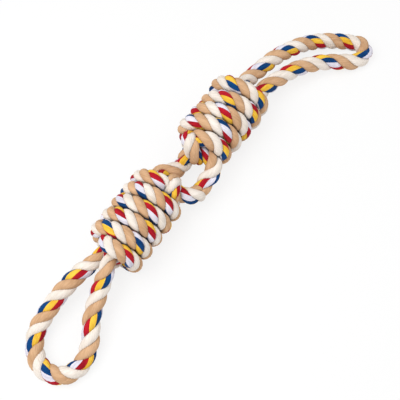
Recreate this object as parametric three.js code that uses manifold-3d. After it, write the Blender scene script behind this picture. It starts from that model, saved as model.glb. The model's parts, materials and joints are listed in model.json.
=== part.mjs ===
// Rope dog toy: two handle ropes and one middle rope, laid on a floor.
// Each knot holds a doubled handle rope in its core, and the middle rope is wound round that core.
// Millimetres, +Z up, long axis along X, the floor at z = 0.
import * as THREE from 'three';
import { mergeVertices } from 'three/addons/utils/BufferGeometryUtils.js';
import Module from 'manifold-3d';

const wasm = await Module();
wasm.setup();

// Rope diameters: free rope, the wraps of each knot pulled tight, and the passes squeezed inside a knot
const free_rope_diameter = 20;
const lower_wrap_rope_diameter = 16.9;
const upper_wrap_rope_diameter = 17.8;
const core_rope_diameter = 15.4;
const eye_rope_diameter = 19;

// Clearances between solids
const seam_gap = 0.3;
const press_gap = 0.45;
const core_clearance = 0.8;
const wrap_clearance = 0.8;

// Knots: wraps that show, how far a wrap's two sides lean along the axis for each unit across it,
// how far the core passes run on past the outermost wraps, and their twist over their length
const lower_wrap_turns = 6;
const upper_wrap_turns = 5;
const lower_wrap_lean = -0.03;
const upper_wrap_lean = -0.2;
const core_overrun = 3.5;
const core_twist_degrees = -170;
const floor_cut_share = 0.1;

// Places of the two knots on the floor, and how far each axis is turned from the long axis
const lower_knot_x = -80.5;
const upper_knot_x = 72.6;
const lower_knot_heading = 3.2;
const upper_knot_heading = -0.6;

// Joints: the ball end of one stretch sits in the cut end of the next
const rim_setback = 7.5;
const lower_hinge_x = -160;
const upper_hinge_x = 152;
const handle_hinge_z = 29;
const middle_hinge_height = 24;

// Thread binding over each hidden join
const binding_length = 22;
const binding_thickness = 0.9;
const join_gap = 0.3;

// Facets
const tube_sides = 10;
const core_sides = 8;
const wrap_sides = 6;
const steps_per_turn = 24;
const ball_rings = 4;
const cup_sides = 32;
const free_step = 11;
const core_step = 7.5;
const dense_steps = 10;
const samples_per_step = 3;
const floor_cut_span = 1200;

const free_radius = free_rope_diameter / 2;
const core_radius = core_rope_diameter / 2;
const eye_radius = eye_rope_diameter / 2;
const core_circle_radius = (core_rope_diameter + core_clearance) / Math.sqrt(3);
const core_twist = THREE.MathUtils.degToRad(core_twist_degrees);

// Angles round the knot's axis, in degrees: 0 is the left side as seen looking inwards, 90 the top
const handle_in_angle = 350;
const handle_out_angle = 110;
const middle_angle = 230;
const top_angle = 90;
const full_turn = 360;
const wrap_start_angle = -60;
const wrap_leave_angle = 72;

// Bends at a knot's two ends, in diameters of the free rope. Each row: how far past the core's end,
// how far to the left as seen looking inwards, and how far up from the knot's axis
const turn_in_shares = [
  [0.35, -0.32, -0.48],
  [0.62, -0.22, -0.77],
  [0.62, 0.1, -1.12],
  [0.42, 0.42, -1.25],
];
const handle_in_leg_shares = [
  [0.35, 0.48, -0.07],
  [0.8, 0.55, -0.1],
];
const handle_out_leg_shares = [
  [0.35, -0.25, 0.42],
  [0.8, -0.45, 0.3],
];
const lower_eye_shares = [
  [0.15, -0.72, -0.5],
  [0.08, -1.15, -0.55],
  [-0.04, -1.45, -0.15],
  [-0.04, -1.4, 0.45],
  [0.06, -1.1, 0.95],
  [0.3, -0.7, 1.2],
  [0.57, -0.43, 1.05],
  [0.72, -0.33, 0.6],
  [0.63, -0.28, 0.1],
  [0.35, -0.05, -0.3],
];
const upper_eye_shares = [
  [0.15, -0.75, -0.45],
  [0.17, -1.06, -0.5],
  [0.1, -1.22, -0.05],
  [0.04, -1.1, 0.55],
  [0.11, -0.77, 1.05],
  [0.32, -0.28, 1.25],
  [0.52, 0.17, 1.12],
  [0.58, 0.44, 0.6],
  [0.38, 0.42, -0.05],
];
const lower_tail_shares = [
  [-0.15, 0.06, 1.2],
  [-0.06, -0.32, 0.95],
  [0.08, -0.63, 0.53],
  [0.25, -1.05, 0.12],
  [0.5, -1.5, -0.12],
  [0.98, -1.75, -0.35],
];
const upper_tail_shares = [
  [-0.15, 0.07, 1.19],
  [-0.01, -0.25, 0.93],
  [0.09, -0.42, 0.5],
  [0.23, -0.48, 0.05],
  [0.5, -0.45, -0.18],
  [0.82, -0.44, -0.22],
];
const lower_run_in_shares = [
  [0.93, 0.36, 0.0],
  [0.63, 0.52, 0.22],
  [0.32, 0.46, 0.36],
];
const upper_run_in_shares = [
  [0.85, 1.5, -0.15],
  [0.45, 1.27, 0.05],
  [0.2, 0.8, 0.25],
];

// Places where the runs cross the middle hinge, and the handle ropes their own hinges
const run_a_route = [
  [9, 5.5, 22],
  [0, 6.3, middle_hinge_height],
  [-8, 7.6, 30],
];
const run_b_route = [
  [-8, -30.4, 21],
  [0, -30, middle_hinge_height],
  [7, -29.5, 28],
];

// Free routes of the two handles, from the leg that comes out of the knot round to the one that goes in
const lower_handle_route = [
  [lower_hinge_x, -16.4, handle_hinge_z],
  [-187.5, -27.2, 22],
  [-210.6, -42.1, 14],
  [-232, -48, 9.5],
  [-250, -41, 9],
  [-258.5, -22, 9],
  [-252.5, -4, 10],
  [-236.2, 9.7, 13],
  [-200.4, 15.2, 21],
  [lower_hinge_x, 11.8, handle_hinge_z],
];
const upper_handle_route = [
  [upper_hinge_x, 9.8, handle_hinge_z],
  [186, 4.6, 28],
  [213.7, -2.6, 24],
  [240, -14, 19],
  [262, -31, 14],
  [279, -51, 9.5],
  [285.5, -66, 9],
  [278.5, -77, 9],
  [262, -76, 9.5],
  [244, -59, 13],
  [225, -42, 18],
  [196, -26, 24],
  [upper_hinge_x, -13.4, handle_hinge_z],
];

const cream = '#e6ddcf';
const tan = '#d2ad84';
const blue = '#1f5290';
const thread_white = '#ece9e2';

// The sizes of a knot that follow from its rope and its number of wraps
function knotOf({ name, x, heading, turns, diameter, lean, ...rows }) {
  const circle_radius = core_circle_radius + core_radius + wrap_clearance + diameter / 2;
  const slope = Math.abs(lean) + diameter / (2 * Math.PI * circle_radius);
  const pitch = (diameter + wrap_clearance) * Math.hypot(1, slope);
  return {
    name,
    x,
    heading,
    turns,
    diameter,
    lean,
    circle_radius,
    pitch,
    half_length: ((turns - 1) * pitch) / 2 + core_overrun,
    height: circle_radius + diameter / 2 - floor_cut_share * diameter,
    ...rows,
  };
}

// A place in a knot's own frame, from a row of shares; side is 1 past the inner end, -1 past the outer
function knotPlace([along_share, left_share, up_share], side, knot) {
  return new THREE.Vector3(
    side * (knot.half_length + along_share * free_rope_diameter),
    left_share * free_rope_diameter,
    up_share * free_rope_diameter,
  );
}

// One pass through the core, from the outer end to the inner end
function corePass(outer_degrees, knot) {
  const steps = Math.round((2 * knot.half_length) / core_step);
  const places = [];
  for (let i = 0; i <= steps; i += 1) {
    const share = i / steps;
    const turn = THREE.MathUtils.degToRad(outer_degrees) + core_twist * share;
    places.push(new THREE.Vector3(
      knot.half_length * (2 * share - 1),
      core_circle_radius * Math.cos(turn),
      core_circle_radius * Math.sin(turn),
    ));
  }
  return places;
}

// The wraps, a right-handed helix from the outer end to the inner end
function wrapHelix(knot) {
  const places = [];
  const step = full_turn / steps_per_turn;
  const last = (knot.turns - 1) * full_turn + wrap_leave_angle;
  for (let degrees = wrap_start_angle; degrees <= last; degrees += step) {
    const turn = THREE.MathUtils.degToRad(degrees);
    const turns_from_first_top = (degrees - top_angle) / full_turn;
    const across = knot.circle_radius * Math.cos(turn);
    places.push(new THREE.Vector3(
      knot.pitch * (turns_from_first_top - (knot.turns - 1) / 2) + knot.lean * across,
      across,
      knot.circle_radius * Math.sin(turn),
    ));
  }
  return places;
}

// Puts places of a knot's own frame where that knot lies; the upper knot is turned half round
function placed(places, knot) {
  const move = new THREE.Matrix4().makeRotationZ(
    THREE.MathUtils.degToRad(knot.heading + (knot.is_upper ? full_turn / 2 : 0)),
  );
  move.setPosition(knot.x, 0, knot.height);
  return places.map((place) => place.clone().applyMatrix4(move));
}

function vectors(route) {
  return route.map(([x, y, z]) => new THREE.Vector3(x, y, z));
}

// A rope's centre line: a smooth curve through its places, measured by length along it
class Route {
  constructor(places) {
    const segments = places.length - 1;
    const curve = new THREE.CatmullRomCurve3(places, false, 'centripetal');
    this.dense = [];
    for (let i = 0; i <= segments * dense_steps; i += 1) {
      this.dense.push(curve.getPoint(i / (segments * dense_steps)));
    }
    this.lengths = [0];
    for (let i = 1; i < this.dense.length; i += 1) {
      this.lengths.push(this.lengths[i - 1] + this.dense[i].distanceTo(this.dense[i - 1]));
    }
    this.total = this.lengths[this.lengths.length - 1];
  }

  // Length along the route at which it passes one of its places
  at(index) {
    return this.lengths[index * dense_steps];
  }

  point(length) {
    const wanted = Math.min(Math.max(length, 0), this.total);
    let high = this.lengths.findIndex((value) => value >= wanted);
    high = Math.max(high, 1);
    const span = this.lengths[high] - this.lengths[high - 1];
    const share = span > 0 ? (wanted - this.lengths[high - 1]) / span : 0;
    return this.dense[high - 1].clone().lerp(this.dense[high], share);
  }

  tangent(length) {
    const reach = free_radius / dense_steps;
    return this.point(length + reach).sub(this.point(length - reach)).normalize();
  }
}

// A closed tube along part of a route. A station has a length along the route and a radius; one with
// an offset lies that far ahead of its length, straight along the route's direction there
function ropeTube(route, stations, sides) {
  const vertices = [];
  const faces = [];
  let across = null;
  stations.forEach(({ length, radius, offset = 0 }) => {
    const ahead = route.tangent(length);
    const centre = route.point(length).addScaledVector(ahead, offset);
    across = across ?? new THREE.Vector3(0, 0, 1).cross(ahead).normalize();
    across.addScaledVector(ahead, -across.dot(ahead)).normalize();
    const beside = new THREE.Vector3().crossVectors(ahead, across);
    for (let side = 0; side < sides; side += 1) {
      const turn = (2 * Math.PI * (side + 0.5)) / sides;
      const corner = centre.clone();
      corner.addScaledVector(across, radius * Math.cos(turn));
      corner.addScaledVector(beside, radius * Math.sin(turn));
      vertices.push(corner.x, corner.y, corner.z);
    }
  });
  const last = stations.length - 1;
  for (let ring = 0; ring < last; ring += 1) {
    for (let side = 0; side < sides; side += 1) {
      const next = (side + 1) % sides;
      const [a, b] = [ring * sides + side, ring * sides + next];
      faces.push(a, b, b + sides, a, b + sides, a + sides);
    }
  }
  const first_cap = vertices.length / 3;
  [stations[0], stations[last]].forEach(({ length, offset = 0 }) => {
    const centre = route.point(length).addScaledVector(route.tangent(length), offset);
    vertices.push(centre.x, centre.y, centre.z);
  });
  for (let side = 0; side < sides; side += 1) {
    const next = (side + 1) % sides;
    faces.push(first_cap, next, side);
    faces.push(first_cap + 1, last * sides + side, last * sides + next);
  }
  const geometry = new THREE.BufferGeometry();
  geometry.setAttribute('position', new THREE.Float32BufferAttribute(vertices, 3));
  geometry.setIndex(faces);
  return geometry;
}

// Stations from one length to another, with the radius worked out at each
function stations(from, to, step, radiusAt) {
  const count = Math.max(1, Math.round((to - from) / step));
  return Array.from({ length: count + 1 }, (_, i) => {
    const length = from + ((to - from) * i) / count;
    return { length, radius: radiusAt(length) };
  });
}

// Stations of a round ball end at a hinge: sign is 1 where the rope starts there, -1 where it ends
function ballEnd(hinge_length, radius, sign) {
  const rings = Array.from({ length: ball_rings }, (_, i) => {
    const lift = (Math.PI / 2) * (i / ball_rings);
    const offset = -sign * radius * Math.sin(lift);
    return { length: hinge_length, offset, radius: radius * Math.cos(lift) };
  });
  return sign > 0 ? rings.reverse() : rings;
}

// Radius that eases from one value to another between two lengths
function eased(length, start, end, before, after) {
  return THREE.MathUtils.lerp(before, after, THREE.MathUtils.smoothstep(length, start, end));
}

function toManifold(geometry) {
  const bare = geometry.clone();
  bare.deleteAttribute('normal');
  bare.deleteAttribute('uv');
  const merged = mergeVertices(bare);
  return new wasm.Manifold(new wasm.Mesh({
    numProp: 3,
    vertProperties: merged.attributes.position.array,
    triVerts: new Uint32Array(merged.index.array),
  }));
}

function fromManifold(solid) {
  const mesh = solid.getMesh();
  const geometry = new THREE.BufferGeometry();
  geometry.setAttribute('position', new THREE.Float32BufferAttribute(mesh.vertProperties, 3));
  geometry.setIndex(Array.from(mesh.triVerts));
  return geometry;
}

// Takes away what lies below the floor
function cutAtFloor(geometry) {
  const below = new THREE.BoxGeometry(floor_cut_span, floor_cut_span, floor_cut_span);
  below.translate(0, 0, -floor_cut_span / 2);
  return fromManifold(toManifold(geometry).subtract(toManifold(below)));
}

// Takes a round cup out of the end of a rope, for the ball that turns in it
function cutCup(geometry, centre, radius) {
  const ball = new THREE.SphereGeometry(radius + seam_gap, cup_sides, cup_sides);
  ball.translate(centre.x, centre.y, centre.z);
  return fromManifold(toManifold(geometry).subtract(toManifold(ball)));
}

// Presses a solid in where other ropes lie against it; what a press cuts off is left out
function pressedBy(geometry, tubes) {
  const solid = tubes.reduce((left, tube) => left.subtract(toManifold(tube)), toManifold(geometry));
  const parts = solid.decompose().sort((a, b) => b.volume() - a.volume());
  return fromManifold(parts[0]);
}

// The stations of a rope, wider all round by the gap that a pressed rope keeps
function widened(list, sides) {
  const more = press_gap / Math.cos(Math.PI / sides);
  return list.map((station) => ({ ...station, radius: station.radius + more }));
}

// Least gap between two stretches of one winding that lie at least half a turn apart along it
function leastGapToItself(route, from, to, knot) {
  const samples_per_turn = steps_per_turn * samples_per_step;
  const step = (2 * Math.PI * knot.circle_radius) / samples_per_turn;
  const places = stations(from, to, step, () => 0).map(({ length }) => route.point(length));
  const apart = Math.round(samples_per_turn / 2);
  let least = Infinity;
  for (let i = 0; i < places.length; i += 1) {
    for (let j = i + apart; j < places.length; j += 1) {
      least = Math.min(least, places[i].distanceTo(places[j]));
    }
  }
  return least - knot.diameter;
}

const toy = new THREE.Group();

function add(name, geometry, color) {
  const material = new THREE.MeshStandardMaterial({ color, roughness: 0.9, metalness: 0 });
  const mesh = new THREE.Mesh(geometry, material);
  mesh.name = name;
  toy.add(mesh);
}

// Rope ends are narrowed under their binding
const neck_radius = (core_radius - binding_thickness) * Math.cos(Math.PI / core_sides) - seam_gap;

// Thread wound over a hidden join: a thin tube round the narrowed rope ends
function addBinding(name, route, middle) {
  const half = binding_length / 2;
  const reach = half + seam_gap;
  const bore_radius = core_radius - binding_thickness;
  const outer_list = stations(middle - half, middle + half, core_step, () => core_radius);
  const bore_list = stations(middle - reach, middle + reach, core_step, () => bore_radius);
  const outer = ropeTube(route, outer_list, core_sides);
  const bore = ropeTube(route, bore_list, core_sides);
  add(name, fromManifold(toManifold(outer).subtract(toManifold(bore))), thread_white);
}

// Radius of a rope that is squeezed in the core and narrower still under its binding
function coreRadiusAt(length, join) {
  const half = binding_length / 2;
  return Math.abs(length - join) <= half + seam_gap ? neck_radius : core_radius;
}

// Adds the stations at which a binding's neck begins and ends, so that its shoulders are square
function withNeck(list, join) {
  const half = binding_length / 2 + seam_gap;
  const step = seam_gap / 2;
  const marks = [
    { length: join - half - step, radius: core_radius },
    { length: join - half, radius: neck_radius },
    { length: join + half, radius: neck_radius },
    { length: join + half + step, radius: core_radius },
  ];
  const low = list[0].length;
  const high = list[list.length - 1].length;
  const kept = list.filter(({ length }) => marks.every((mark) => Math.abs(mark.length - length) > step));
  const wanted = marks.filter(({ length }) => length > low && length < high);
  return [...kept, ...wanted].sort((a, b) => a.length - b.length);
}

// The handle rope of one knot: a closed ring, free outside the hinges, doubled through the core
function addHandleRope(knot, free_route, pressing) {
  const passes = placed([
    ...handle_in_leg_shares.toReversed().map((row) => knotPlace(row, -1, knot)),
    ...corePass(handle_in_angle, knot),
    ...knot.eye_shares.map((row) => knotPlace(row, 1, knot)),
    ...corePass(handle_out_angle, knot).toReversed(),
    ...handle_out_leg_shares.map((row) => knotPlace(row, -1, knot)),
  ], knot);
  const loop = vectors(free_route);
  const route = new Route([passes.at(-1), ...loop, ...passes, ...loop.slice(0, 2)]);
  const hinge_out = route.at(1);
  const hinge_in = route.at(loop.length);
  const core_places = corePass(handle_in_angle, knot).length;
  const in_start = loop.length + 1 + handle_in_leg_shares.length;
  const out_start = in_start + core_places + knot.eye_shares.length;
  const in_mouth = route.at(in_start);
  const eye_start = route.at(in_start + core_places - 1);
  const eye_end = route.at(out_start);
  const out_mouth = route.at(out_start + core_places - 1);
  const hinge_end = route.at(loop.length + 1 + passes.length);
  const join = (route.at(out_start) + out_mouth) / 2;

  const loop_tube = ropeTube(route, [
    ...ballEnd(hinge_out, free_radius, 1).slice(0, -1),
    ...stations(hinge_out, hinge_in, free_step, () => free_radius),
    ...ballEnd(hinge_in, free_radius, -1).slice(1),
  ], tube_sides);
  add(`${knot.name}_handle_loop`, cutAtFloor(loop_tube), knot.is_upper ? tan : cream);

  const radiusIn = (length) => eased(length, hinge_in + rim_setback, in_mouth, free_radius, core_radius);
  const radiusOut = (length) => eased(length, out_mouth, hinge_end - rim_setback, core_radius, free_radius);
  const radiusEye = (length) => {
    const share = (length - eye_start) / (eye_end - eye_start);
    return THREE.MathUtils.lerp(core_radius, eye_radius, Math.sin(Math.PI * share));
  };
  const in_list = stations(hinge_in + rim_setback, join - join_gap / 2, core_step, (length) => {
    if (length < in_mouth) {
      return radiusIn(length);
    }
    return length > eye_start && length < eye_end ? radiusEye(length) : coreRadiusAt(length, join);
  });
  const out_list = stations(join + join_gap / 2, hinge_end - rim_setback, core_step, (length) => (
    length > out_mouth ? radiusOut(length) : coreRadiusAt(length, join)
  ));
  const in_tube = ropeTube(route, withNeck(in_list, join), core_sides);
  const out_tube = ropeTube(route, withNeck(out_list, join), core_sides);
  const in_rope = pressedBy(cutCup(in_tube, route.point(hinge_in), free_radius), pressing);
  add(`${knot.name}_handle_eye`, in_rope, cream);
  add(`${knot.name}_handle_end`, cutCup(out_tube, route.point(hinge_end), free_radius), tan);
  addBinding(`${knot.name}_handle_binding`, route, join);
}

// The middle rope at one knot: in over the eye, through the core, back over it as wraps, and out
function addMiddleRope(knot, run_in, run_out) {
  const core = corePass(middle_angle, knot).toReversed();
  const helix = wrapHelix(knot);
  const inside = placed([
    ...knot.run_in_shares.map((row) => knotPlace(row, 1, knot)),
    ...core,
    ...turn_in_shares.map((row) => knotPlace(row, -1, knot)),
    ...helix,
    ...knot.tail_shares.map((row) => knotPlace(row, 1, knot)),
  ], knot);
  const route = new Route([...vectors(run_in), ...inside, ...vectors(run_out)]);
  const start = route.at(1);
  const core_start = run_in.length + knot.run_in_shares.length;
  const helix_start = core_start + core.length + turn_in_shares.length;
  const in_mouth = route.at(core_start);
  const core_end = route.at(core_start + core.length - 1);
  const join = (in_mouth + core_end) / 2;
  const helix_length = route.at(helix_start);
  const wraps_end = route.at(helix_start + helix.length - 1);
  const end = route.at(run_in.length + inside.length + 1);

  const in_list = stations(start + rim_setback, join - join_gap / 2, core_step, (length) => (
    length < in_mouth
      ? eased(length, start + rim_setback, in_mouth, free_radius, core_radius)
      : coreRadiusAt(length, join)
  ));
  const in_stations = withNeck(in_list, join);

  const wrap_radius = knot.diameter / 2;
  const wrap_step = (2 * Math.PI * knot.circle_radius) / steps_per_turn;
  const wrap_list = stations(join + join_gap / 2, end, wrap_step, (length) => {
    if (length < core_end) {
      return coreRadiusAt(length, join);
    }
    return length < helix_length
      ? eased(length, core_end, helix_length, core_radius, wrap_radius)
      : eased(length, wraps_end, end, wrap_radius, free_radius);
  });
  const wrap_stations = [...withNeck(wrap_list, join), ...ballEnd(end, free_radius, -1).slice(1)];
  const wrap_tube = ropeTube(route, wrap_stations, wrap_sides);
  add(`${knot.name}_wraps`, cutAtFloor(wrap_tube), blue);
  const pressing_wraps = ropeTube(route, widened(wrap_stations, wrap_sides), wrap_sides);
  const in_tube = cutCup(ropeTube(route, in_stations, core_sides), route.point(start), free_radius);
  add(`${knot.name}_run_in`, pressedBy(in_tube, [pressing_wraps]), tan);
  const gap = leastGapToItself(route, helix_length, end, knot);
  console.log(`${knot.name} wraps: least gap to itself ${gap.toFixed(2)} mm`);

  addBinding(`${knot.name}_wrap_binding`, route, join);
  return [pressing_wraps, ropeTube(route, widened(in_stations, core_sides), core_sides)];
}

const lower_knot = knotOf({
  name: 'lower',
  x: lower_knot_x,
  heading: lower_knot_heading,
  is_upper: false,
  turns: lower_wrap_turns,
  diameter: lower_wrap_rope_diameter,
  lean: lower_wrap_lean,
  eye_shares: lower_eye_shares,
  tail_shares: lower_tail_shares,
  run_in_shares: lower_run_in_shares,
});
const upper_knot = knotOf({
  name: 'upper',
  x: upper_knot_x,
  heading: upper_knot_heading,
  is_upper: true,
  turns: upper_wrap_turns,
  diameter: upper_wrap_rope_diameter,
  lean: upper_wrap_lean,
  eye_shares: upper_eye_shares,
  tail_shares: upper_tail_shares,
  run_in_shares: upper_run_in_shares,
});

const pressing_lower = addMiddleRope(lower_knot, run_a_route, run_b_route);
const pressing_upper = addMiddleRope(upper_knot, run_b_route, run_a_route);
addHandleRope(lower_knot, lower_handle_route, pressing_lower);
addHandleRope(upper_knot, upper_handle_route, pressing_upper);

// The origin is at the middle of the whole toy's box, on the floor
const extent = new THREE.Box3().setFromObject(toy);
toy.position.set(-(extent.min.x + extent.max.x) / 2, -(extent.min.y + extent.max.y) / 2, -extent.min.z);
console.log(`moved by ${toy.position.toArray().map((value) => value.toFixed(2)).join(', ')} mm`);

export default toy;
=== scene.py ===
import json
import logging
import math
from dataclasses import dataclass
from enum import Enum
from typing import Callable, Sequence

import bpy
import numpy as np
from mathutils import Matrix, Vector


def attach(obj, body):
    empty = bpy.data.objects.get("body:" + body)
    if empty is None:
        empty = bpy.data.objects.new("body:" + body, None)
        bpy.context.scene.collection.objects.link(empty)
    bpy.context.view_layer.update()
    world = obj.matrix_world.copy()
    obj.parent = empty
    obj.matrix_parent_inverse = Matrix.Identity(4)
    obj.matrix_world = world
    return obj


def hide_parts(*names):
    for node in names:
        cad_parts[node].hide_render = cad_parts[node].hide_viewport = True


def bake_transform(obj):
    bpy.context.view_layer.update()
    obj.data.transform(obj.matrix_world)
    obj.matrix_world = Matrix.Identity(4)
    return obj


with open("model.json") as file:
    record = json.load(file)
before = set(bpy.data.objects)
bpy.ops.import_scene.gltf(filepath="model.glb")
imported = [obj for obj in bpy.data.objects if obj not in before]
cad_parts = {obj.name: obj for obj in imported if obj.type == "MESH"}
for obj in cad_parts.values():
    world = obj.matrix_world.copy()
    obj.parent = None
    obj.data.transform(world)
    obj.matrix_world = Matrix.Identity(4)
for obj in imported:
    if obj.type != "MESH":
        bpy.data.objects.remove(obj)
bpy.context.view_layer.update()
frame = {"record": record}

LOG = logging.getLogger("rope_toy")
MM = 0.001
WHITE = (1, 1, 1, 1)
RECORD_JOINTS = {joint["name"]: joint for joint in frame["record"]["behaviour"]["joints"]}
Row = Sequence[float]


# Sizes, as in the part's source

FREE_DIAMETER = 20 * MM
CORE_DIAMETER = 15.4 * MM
EYE_DIAMETER = 19 * MM
CORE_CLEARANCE = 0.8 * MM
WRAP_CLEARANCE = 0.8 * MM
CORE_OVERRUN = 3.5 * MM
CORE_TWIST = math.radians(-170)
CORE_STEP = 7.5 * MM
FLOOR_CUT_SHARE = 0.1
BINDING_LENGTH = 22 * MM
BINDING_THICKNESS = 0.9 * MM
CORE_CIRCLE = (CORE_DIAMETER + CORE_CLEARANCE) / math.sqrt(3)  # three passes that touch

HANDLE_IN_ANGLE, HANDLE_OUT_ANGLE, MIDDLE_ANGLE = 350, 110, 230
WRAP_START_ANGLE, WRAP_LEAVE_ANGLE, TOP_ANGLE = -60, 72, 90
QUARTER_TURN, HALF_TURN, FULL_TURN = 90, 180, 360
STEPS_PER_TURN = 24
STRANDS = 3
STRAND_CENTRE_SHARE = 0.536
CREAM_TURN, TAN_TURN = FULL_TURN / STRANDS, 2 * FULL_TURN / STRANDS

# A strand's turn in millimetres of rope, laid a little tighter in the knots. The yarns turn back
# twice for each turn of their strand.
LOOP_LAY = 2 * FREE_DIAMETER / MM
KNOT_LAY = 36
YARN_TURNS_PER_TURN = -2.0

# The lower knot's first wrap comes out from under the second: how far along and in it starts,
# over which angles it comes out, and how much of the turn into it is left
TUCK_ALONG = 12 * MM
TUCK_INWARD = 14 * MM
TUCK_ANGLES = (45, 95)
TUCK_TURN_IN = 0.55

# How far inside a mouth a rope is squeezed to its core thickness
HANDLE_EASE = 4 * MM
RUN_IN_EASE = 6 * MM

LOWER_HINGE_X, UPPER_HINGE_X, HANDLE_HINGE_Z, MIDDLE_HINGE_HEIGHT = -160, 152, 29, 24
LOWER_HINGE_PLACE = (LOWER_HINGE_X, -2.3)

# Bends at a knot's two ends, in diameters of the free rope: past the core's end, left, up.
# The eyes, tails and run-ins press closer together than the part's solids can.
TURN_IN = ((0.35, -0.32, -0.48), (0.62, -0.22, -0.77), (0.62, 0.1, -1.12), (0.42, 0.42, -1.25))
HANDLE_IN_LEG = ((0.35, 0.48, -0.07), (0.8, 0.55, -0.1))
HANDLE_OUT_LEG = ((0.35, -0.25, 0.42), (0.8, -0.45, 0.3))
LOWER_EYE = (
    (0.15, -0.6, -0.4), (0.0, -0.85, -0.4), (-0.32, -0.88, 0.0), (-0.2, -0.86, 0.52),
    (0.0, -0.77, 0.88), (0.27, -0.62, 0.92), (0.42, -0.53, 0.68), (0.5, -0.4, 0.35),
    (0.45, -0.25, 0.0), (0.3, -0.05, -0.3),
)
UPPER_EYE = (
    (0.15, -0.44, -0.3), (0.2, -0.48, -0.1), (0.15, -0.47, 0.25), (0.1, -0.45, 0.7),
    (0.18, -0.42, 1.05), (0.33, -0.3, 1.25), (0.53, 0.0, 1.12), (0.65, 0.26, 0.6),
    (0.42, 0.36, -0.05),
)
LOWER_TAIL = (
    (-0.15, 0.06, 1.2), (-0.03, -0.3, 0.82), (0.1, -0.58, 0.42), (0.25, -1.03, 0.1),
    (0.5, -1.5, -0.12), (0.98, -1.75, -0.35),
)
UPPER_TAIL = (
    (-0.15, 0.07, 1.19), (-0.01, -0.25, 0.93), (0.09, -0.28, 0.5), (0.23, -0.2, 0.05),
    (0.5, -0.2, -0.18), (0.82, -0.24, -0.22),
)
LOWER_RUN_IN = ((0.93, 0.36, 0.0), (0.63, 0.52, 0.22), (0.32, 0.46, 0.36))
UPPER_RUN_IN = ((0.8, 1.58, -0.15), (0.3, 1.42, 0.05), (0.06, 0.92, 0.25))

# Free routes, in millimetres: the two runs across the middle hinge, and the two handle loops
RUN_A = ((9, 5.5, 22), (0, 6.3, MIDDLE_HINGE_HEIGHT), (-8, 7.6, 30))
RUN_B = ((-8, -30.4, 21), (0, -30, MIDDLE_HINGE_HEIGHT), (7, -29.5, 28))
LOWER_LOOP = (
    (LOWER_HINGE_X, -16.4, HANDLE_HINGE_Z), (-187.5, -27.2, 22), (-210.6, -42.1, 14),
    (-232, -48, 9.5), (-250, -41, 9), (-258.5, -22, 9), (-252.5, -4, 10), (-236.2, 9.7, 13),
    (-200.4, 15.2, 21), (LOWER_HINGE_X, 11.8, HANDLE_HINGE_Z),
)
UPPER_LOOP = (
    (UPPER_HINGE_X, 9.8, HANDLE_HINGE_Z), (186, 4.6, 28), (213.7, -2.6, 24), (240, -14, 19),
    (262, -31, 14), (279, -51, 9.5), (285.5, -66, 9), (278.5, -77, 9), (262, -76, 9.5),
    (244, -59, 13), (225, -42, 18), (196, -26, 24), (UPPER_HINGE_X, -13.4, HANDLE_HINGE_Z),
)


def frame_origin() -> np.ndarray:
    """Find where the routes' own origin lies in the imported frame.

    Returns:
        The shift in metres, from the place of the lower handle's joint.
    """
    joint = RECORD_JOINTS["lower_handle_bend"]["pos_m"]
    return np.array([joint[0] - LOWER_HINGE_PLACE[0] * MM, joint[1] - LOWER_HINGE_PLACE[1] * MM, 0.0])


ORIGIN = frame_origin()


def placed_rows(rows: Sequence[Row]) -> list[np.ndarray]:
    """Turn route points in millimetres into places in the frame.

    Args:
        rows: Points of a route, in millimetres, about the routes' own origin.

    Returns:
        The same points in metres, about the frame's origin.
    """
    return [np.array(row, float) * MM + ORIGIN for row in rows]


# The photograph

@dataclass(frozen=True)
class View:
    """The photograph's view: its places are millimetres about the routes' own origin."""

    place: Row = (-259.6, -222.1, 712.6)
    aim: Row = (-6.4, -31.0, 0.0)
    focal_length: float = 60.75
    sensor_width: float = 36.0
    pixels: int = 400

    def ray(self, pixel: Row) -> tuple[np.ndarray, np.ndarray]:
        """Draw the line from the camera through a pixel.

        Args:
            pixel: A place in the photograph, from its top left corner.

        Returns:
            The camera's place in the frame, in metres, and the line's direction.
        """
        place, aim = placed_rows([self.place, self.aim])
        ahead = (aim - place) / np.linalg.norm(aim - place)
        right = np.cross(ahead, [0, 0, 1.0])
        right /= np.linalg.norm(right)
        up = np.cross(right, ahead)
        lens = self.focal_length / self.sensor_width * self.pixels
        x, y = (np.array(pixel) - self.pixels / 2) / lens
        direction = ahead + right * x - up * y
        return place, direction / np.linalg.norm(direction)


@dataclass(frozen=True)
class Seen:
    """Where strands and coloured yarns show on one stretch of rope, read off the photograph.

    Each place is a pixel of the photograph's 400 x 400 frame, at the middle of what shows there.
    """

    coloured: Sequence[Row] = ()
    cream: Sequence[Row] = ()
    tan: Sequence[Row] = ()
    yellow: Sequence[Row] = ()
    red: Sequence[Row] = ()
    white: Sequence[Row] = ()
    blue: Sequence[Row] = ()

    def strands(self) -> list[tuple[Row, float]]:
        """Places of the strands, each with the turn from its strand to the coloured one."""
        turns = ((0, self.coloured), (CREAM_TURN, self.cream), (TAN_TURN, self.tan))
        return [(pixel, turn) for turn, seen in turns for pixel in seen]

    def yarns(self) -> list[tuple[Row, float]]:
        """Places of the coloured yarns, each with the turn from it back to the first yellow one."""
        order = (self.yellow, self.red, self.white, self.blue)
        quarter = FULL_TURN / len(order)
        return [(pixel, -(k + 0.5) * quarter) for k, seen in enumerate(order) for pixel in seen]


Stretch = tuple[Seen, float, float]


@dataclass(frozen=True)
class MarkedTurns:
    """Turns given about one strand seen at a mark, where too little shows for a fit.

    The rows are millimetres past the mark, and degrees past the strand's place there.
    """

    mark: Row
    strand_turn: float
    rows: Sequence[Row]


# Finishes

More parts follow.
